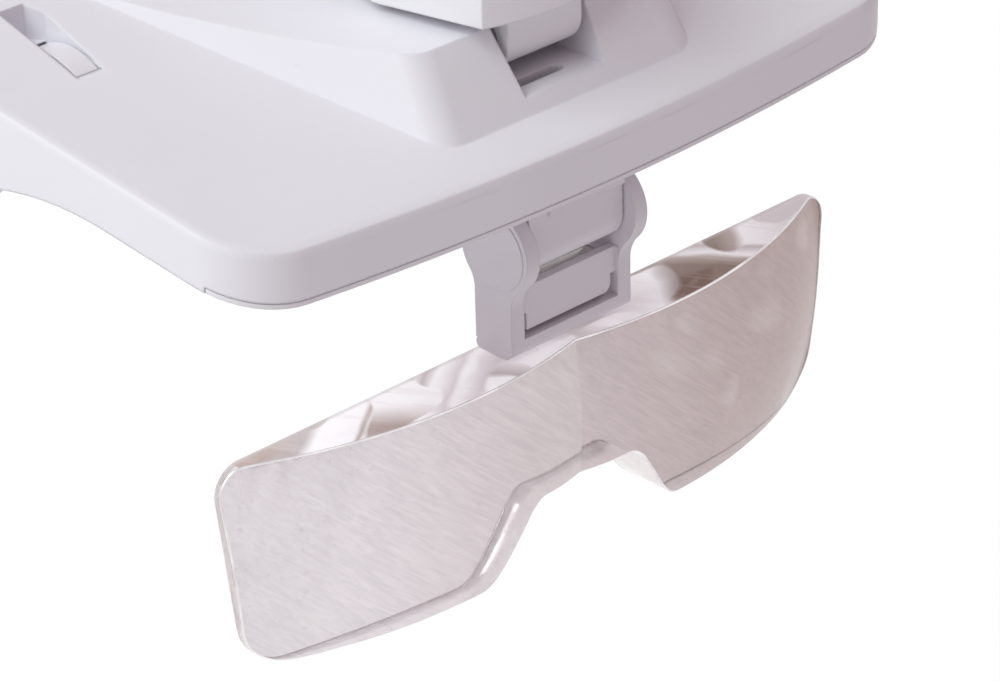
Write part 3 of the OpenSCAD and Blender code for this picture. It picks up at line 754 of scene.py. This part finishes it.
@dataclass
class FlipHinge(SubAssembly):
    """The bracket that swings, with its axle and friction rings."""

    finishes: dict[str, Finish] = field(default_factory=lambda: {
        "flip_bracket": Finishes.HINGE,
        "flip_axle": Finishes.AXLE,
        "flip_friction_rings": Finishes.RUBBER,
    })
    edges: dict[str, SoftEdge] = field(default_factory=lambda: {"flip_bracket": SoftEdge(0.35)})


@dataclass
class Lamp(SubAssembly):
    """The tilting lamp with its cells, switch and door."""

    finishes: dict[str, Finish] = field(default_factory=lambda: {
        "lamp_lower_case": Finishes.LAMP,
        "lamp_upper_case": Finishes.LAMP,
        "lamp_window": Finishes.WINDOW,
        "lamp_reflector": Finishes.CHROME,
        "lamp_leds": Finishes.LED,
        "led_board": Finishes.BOARD,
        "coin_cells": Finishes.CELL,
        "cell_contacts": Finishes.CONTACT,
        "battery_door": Finishes.LAMP,
        "switch_slider": Finishes.SWITCH,
        "tilt_washers": Finishes.RUBBER,
        "lamp_case_screws": Finishes.ZINC,
    })
    edges: dict[str, SoftEdge] = field(default_factory=lambda: {
        "lamp_lower_case": SoftEdge(0.5),
        "lamp_upper_case": SoftEdge(0.5),
        "battery_door": SoftEdge(0.12, 2),
        "switch_slider": SoftEdge(0.15, 2),
    })


@dataclass
class LensPlate:
    """The two-lobed lens plate, laid out as a fine mesh with true spherical fronts.

    Lengths are millimetres from the middle of the plate's top rear edge; x runs along the plate,
    z up, and depth forward. REAR and DROP are that edge's place ahead of and below the shared
    origin. A lobe is its sphere's x, z and radius, an arc its centre's x, z and its radius, the
    notch a line of corners from the bottom edge to the middle, and the tongue its half width, its
    rear, its front and its top.
    """

    REAR: ClassVar[float] = 27.0
    DROP: ClassVar[float] = 34.5
    TOP: ClassVar[int] = 1
    RIM: ClassVar[int] = 2
    SIDE: ClassVar[int] = 3
    lobe: Triple = (16.6, -11.0, 70.0)
    peak: float = 10.4
    edge: float = 1.2
    melt: float = 0.6
    top_arc: Triple = (48.1, -3.8, 3.8)
    low_arc: Triple = (42.9, -21.6, 7.0)
    arc_steps: int = 14
    end_slant: float = 8.0
    notch: tuple[Span, ...] = ((16.2, -28.6), (14.1, -26.4), (9.6, -19.5), (8.0, -18.3), (3.6, -18.7))
    notch_round: float = 1.6
    rim: float = 0.22
    rim_turns: tuple[float, ...] = (30.0, 60.0, 90.0)
    tongue: tuple[float, float, float, float] = (6.55, 2.9, 5.26, 9.05)
    tongue_sunk: float = 0.2
    tongue_edge: float = 0.3
    step: float = 0.9
    margin: float = 0.8
    grid_end: float = 51.5
    grid_low: float = -28.0
    crowding: float = 0.45
    sharp: float = 24.0

    def build(self) -> None:
        """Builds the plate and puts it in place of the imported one."""
        shape = bmesh.new()
        outline = self._outline()
        inner = self._inset(outline, self.rim)
        front = self._front(shape, inner)
        self._walls(shape, outline, inner, front)
        self._tongue(shape)
        bmesh.ops.recalc_face_normals(shape, faces=shape.faces)
        mesh = bpy.data.meshes.new("lens_plate_clear")
        shape.to_mesh(mesh)
        shape.free()
        mesh.shade_smooth()
        mesh.set_sharp_from_angle(angle=math.radians(self.sharp))
        plate = bpy.data.objects.new("lens_plate_clear", mesh)
        bpy.context.scene.collection.objects.link(plate)
        for finish in (Finishes.LENS, Finishes.LENS_TOP, Finishes.LENS_RIM, Finishes.LENS_SIDE):
            mesh.materials.append(finish.material())
        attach(plate, "lens")
        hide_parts("lens_plate")
        LOG.info("lens_plate_clear: %d faces", len(mesh.polygons))

    def depth(self, x: float, z: float) -> float:
        """Depth of the front surface.

        Args:
            x: Place along the plate.
            z: Height.

        Returns:
            Distance of the front from the flat rear.
        """
        lobe_x, lobe_z, radius = self.lobe
        off = (abs(x) - lobe_x) ** 2 + (z - lobe_z) ** 2
        above = self.peak - radius + math.sqrt(radius * radius - off) - self.edge
        return self.edge + (above + math.sqrt(above * above + self.melt * self.melt)) / 2.0

    def _outline(self) -> list[Vector]:
        """The plate's outline as seen from the front.

        Returns:
            Points in order, evenly close together, the upper left end first.
        """
        right = [Vector((0.0, 0.0))]
        for (cx, cz, radius), start, end in ((self.top_arc, 90.0, -self.end_slant),
                                             (self.low_arc, -self.end_slant, -90.0)):
            for i in range(self.arc_steps + 1):
                turn = math.radians(start + (end - start) * i / self.arc_steps)
                right.append(Vector((cx + radius * math.cos(turn), cz + radius * math.sin(turn))))
        corners = [Vector(p) for p in self.notch]
        right += self._rounded([right[-1], *corners, Vector((0.0, corners[-1].y))], self.notch_round)[1:]
        left = [Vector((-p.x, p.y)) for p in reversed(right[1:-1])]
        ring = right + left
        dense = []
        for here, there in zip(ring, ring[1:] + ring[:1]):
            count = max(1, round((there - here).length / self.step))
            dense += [here.lerp(there, i / count) for i in range(count)]
        return dense

    @staticmethod
    def _rounded(points: list[Vector], cut: float) -> list[Vector]:
        """Rounds the inner corners of an open line.

        Args:
            points: The line.
            cut: Length taken off each side of a corner.

        Returns:
            The rounded line.
        """
        most = 0.45
        line = [points[0]]
        for before, corner, after in zip(points, points[1:], points[2:]):
            reach = min(cut, (corner - before).length * most, (after - corner).length * most)
            start = corner + (before - corner).normalized() * reach
            end = corner + (after - corner).normalized() * reach
            line += [start.lerp(corner, t).lerp(corner.lerp(end, t), t) for t in (0.0, 0.25, 0.5, 0.75, 1.0)]
        return line + [points[-1]]

    @staticmethod
    def _inset(ring: list[Vector], gap: float) -> list[Vector]:
        """Moves a ring inwards.

        Args:
            ring: Points in clockwise order.
            gap: How far.

        Returns:
            The inner ring, point by point.
        """
        inner = []
        for i, here in enumerate(ring):
            along = (ring[(i + 1) % len(ring)] - ring[i - 1]).normalized()
            inner.append(here + Vector((along.y, -along.x)) * gap)
        return inner

    def _place(self, x: float, z: float, depth: float) -> Vector:
        """A point of the plate in the shared frame."""
        return Vector((x * MM, -(depth + self.REAR) * MM, (z - self.DROP) * MM))

    def _front(self, shape: bmesh.types.BMesh, inner: list[Vector]) -> list[bmesh.types.BMVert]:
        """Adds the front: an even grid inside the rim, with the crease between the lobes as an edge.

        Args:
            shape: The mesh being built.
            inner: The ring inside the rounded rim.

        Returns:
            The front's rim in the ring's order.
        """
        notch_top = self.notch[-1][1]
        crease = [Vector((0.0, z)) for z in self._steps(notch_top + self.margin, -self.margin)]
        grid = list(crease)
        for x in self._steps(self.step, self.grid_end):
            for z in self._steps(self.grid_low, -self.margin):
                for point in (Vector((x, z)), Vector((-x, z))):
                    apart = min((point - p).length for p in inner) > self.step * self.crowding
                    if apart and self._inside(point, inner):
                        grid.append(point)
        count = len(inner)
        top = min(range(count), key=lambda i: inner[i].length)
        low = min(range(count), key=lambda i: (inner[i] - Vector((0.0, notch_top))).length)
        spine = [low, *range(count, count + len(crease)), top]
        edges = [(i, (i + 1) % count) for i in range(count)] + list(zip(spine, spine[1:]))
        ring = [list(range(count))]
        inside_only, closeness = 1, 1e-4
        flat, _, faces, *_ = delaunay_2d_cdt(inner + grid, edges, ring, inside_only, closeness)
        verts = [shape.verts.new(self._place(p.x, p.y, self.depth(p.x, p.y))) for p in flat]
        for face in faces:
            shape.faces.new([verts[i] for i in face])
        return verts[:count]

    def _walls(self, shape: bmesh.types.BMesh, outline: list[Vector], inner: list[Vector],
               front: list[bmesh.types.BMVert]) -> None:
        """Adds the rounded rims, the walls between them and the flat rear.

        Args:
            shape: The mesh being built.
            outline: The outer ring.
            inner: The ring inside the rounded rim.
            front: The front's rim, point by point above the inner ring.
        """
        turns = [math.radians(a) for a in self.rim_turns]
        pairs = list(zip(inner, outline))
        rings = [front]
        for t in turns:
            rings.append([shape.verts.new(self._place(*p.lerp(q, math.sin(t)),
                                                      self.depth(*p) - self.rim * (1 - math.cos(t))))
                          for p, q in pairs])
        for t in reversed(turns):
            rings.append([shape.verts.new(self._place(*p.lerp(q, math.sin(t)), self.rim * (1 - math.cos(t))))
                          for p, q in pairs])
        rings.append([shape.verts.new(self._place(*p, 0.0)) for p in inner])
        for upper, lower in zip(rings, rings[1:]):
            for i in range(len(inner)):
                j = (i + 1) % len(inner)
                wall = shape.faces.new((upper[i], upper[j], lower[j], lower[i]))
                wall.material_index = self.RIM
                if upper is rings[len(turns)]:
                    on_top = outline[i].y > -self.rim and outline[j].y > -self.rim
                    wall.material_index = self.TOP if on_top else self.SIDE
        shape.faces.new(rings[-1])

    def _steps(self, low: float, high: float) -> list[float]:
        """Evenly spaced values.

        Args:
            low: First value.
            high: Last value.

        Returns:
            The values.
        """
        count = max(1, round((high - low) / self.step))
        return [low + (high - low) * i / count for i in range(count + 1)]

    @staticmethod
    def _inside(point: Vector, ring: list[Vector]) -> bool:
        """Whether a point lies inside a ring.

        Args:
            point: The point.
            ring: The ring's points in order.

        Returns:
            True inside.
        """
        inside = False
        for a, b in zip(ring, ring[1:] + ring[:1]):
            if (a.y > point.y) != (b.y > point.y):
                inside ^= point.x < a.x + (point.y - a.y) / (b.y - a.y) * (b.x - a.x)
        return inside

    def _tongue(self, shape: bmesh.types.BMesh) -> None:
        """Adds the tongue that stands in the bracket's socket.

        Args:
            shape: The mesh being built.
        """
        half, rear, front, top = self.tongue
        made = bmesh.ops.create_cube(shape, size=1.0)["verts"]
        for vert in made:
            x, y, z = vert.co
            vert.co = self._place(half if x > 0 else -half, top if z > 0 else -self.tongue_sunk,
                                  front if y < 0 else rear)
        rims = list(dict.fromkeys(e for v in made for e in v.link_edges))
        bmesh.ops.bevel(shape, geom=rims, offset=self.tongue_edge * MM, segments=2, affect="EDGES",
                        profile=0.5)


@dataclass
class Studio:
    """Plain white studio: floor, world, one large soft light and the camera."""

    floor_drop: float = 0.07
    floor_size: float = 6.0
    floor_tone: Colour = (0.88, 0.88, 0.88)
    floor_glow: float = 1.04
    floor_seen: float = 0.92
    ambient: Colour = (0.4, 0.316, 0.342)
    white: Colour = (1.0, 1.0, 1.0)
    key_toward: Triple = (-0.66, 0.1, 0.745)
    key_distance: float = 1.6
    key_size: float = 1.3
    key_power: float = 23.2
    key_colour: Colour = (0.9, 1.0, 0.98)
    camera_place: Triple = (-0.30094, -0.34333, 0.19748)
    azimuth: float = -43.035
    elevation: float = 28.273
    roll: float = -1.541
    focal_mm: float = 143.9
    sensor_mm: float = 36.0
    nearest: float = 0.01

    def build(self) -> None:
        """Builds the studio."""
        self._floor()
        self._world()
        self._key_light()
        self._camera()

    @staticmethod
    def _seen(graph: Graph) -> Wire:
        """Picks out the rays that show the background directly, in gloss or through clear pieces.

        Args:
            graph: The graph of the floor or the world.

        Returns:
            1 for those rays and 0 for others.
        """
        path = graph.node(Kind.LIGHT_PATH)
        camera = Wire(graph, path.outputs["Is Camera Ray"])
        glossy = Wire(graph, path.outputs["Is Glossy Ray"])
        through = Wire(graph, path.outputs["Is Transmission Ray"])
        return camera.largest(glossy).largest(through)

    def _floor(self) -> None:
        """A plain pale floor that keeps a faint shadow."""
        low = min(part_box(name)[0][2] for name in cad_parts)
        size = self.floor_size
        mesh = bpy.data.meshes.new("studio_floor")
        corners = [(-size, -size), (size, -size), (size, size), (-size, size)]
        mesh.from_pydata([(x, y, low - self.floor_drop) for x, y in corners], [], [(0, 1, 2, 3)])
        floor = bpy.data.objects.new("studio_floor", mesh)
        bpy.context.scene.collection.objects.link(floor)
        material = bpy.data.materials.new("pale_floor")
        material.use_nodes = True
        graph = Graph(material.node_tree)
        paper = graph.node(Kind.DIFFUSE, None, {"Color": (*self.floor_tone, 1.0)})
        bright = graph.node(Kind.EMISSION, None, {"Color": (*self.white, 1.0), "Strength": self.floor_glow})
        mixed = graph.node(Kind.MIX_SHADER, None, {
            0: self._seen(graph) * self.floor_seen,
            1: paper.outputs[0],
            2: bright.outputs[0],
        })
        graph.node(Kind.OUTPUT, None, {"Surface": mixed.outputs[0]})
        mesh.materials.append(material)

    def _world(self) -> None:
        """Soft surrounding light, white where it is seen."""
        world = bpy.data.worlds.new("studio")
        bpy.context.scene.world = world
        world.use_nodes = True
        graph = Graph(world.node_tree)
        soft = graph.node(Kind.BACKGROUND, None, {"Color": (*self.ambient, 1.0), "Strength": 1.0})
        white = graph.node(Kind.BACKGROUND, None, {"Color": (*self.white, 1.0), "Strength": 1.0})
        mixed = graph.node(Kind.MIX_SHADER, None, {
            0: self._seen(graph),
            1: soft.outputs[0],
            2: white.outputs[0],
        })
        graph.node(Kind.WORLD_OUTPUT, None, {"Surface": mixed.outputs[0]})

    def _key_light(self) -> None:
        """A large square light from the upper left, turned towards the object."""
        data = bpy.data.lights.new("key", "AREA")
        data.shape = "SQUARE"
        data.size = self.key_size
        data.energy = self.key_power
        data.color = self.key_colour
        light = bpy.data.objects.new("key", data)
        light.location = Vector(self.key_toward).normalized() * self.key_distance
        light.rotation_euler = (-light.location).to_track_quat("-Z", "Y").to_euler()
        bpy.context.scene.collection.objects.link(light)

    def _camera(self) -> None:
        """The camera at the photograph's viewing angle."""
        turn, lift, roll = (math.radians(a) for a in (self.azimuth, self.elevation, self.roll))
        back = Vector((math.sin(turn) * math.cos(lift), -math.cos(turn) * math.cos(lift), math.sin(lift)))
        right = (-back).cross(Vector((0.0, 0.0, 1.0))).normalized()
        up = right.cross(-back)
        rolled_right = right * math.cos(roll) + up * math.sin(roll)
        rolled_up = up * math.cos(roll) - right * math.sin(roll)
        data = bpy.data.cameras.new("photo_camera")
        data.sensor_fit = "HORIZONTAL"
        data.sensor_width = self.sensor_mm
        data.lens = self.focal_mm
        data.clip_start = self.nearest
        camera = bpy.data.objects.new("photo_camera", data)
        axes = Matrix((rolled_right, rolled_up, back)).transposed().to_4x4()
        camera.matrix_world = Matrix.Translation(self.camera_place) @ axes
        bpy.context.scene.collection.objects.link(camera)
        bpy.context.scene.camera = camera


def write_sizes() -> None:
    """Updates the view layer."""
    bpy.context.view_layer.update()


def main() -> None:
    logging.basicConfig(level=logging.INFO, format="%(message)s")
    for part in (Visor(), FlipHinge(), LensPlate(), Lamp(), Studio()):
        part.build()
        LOG.info("%s built", type(part).__name__)
    bpy.context.scene.view_settings.view_transform = "Standard"
    write_sizes()


if __name__ == "__main__":
    main()
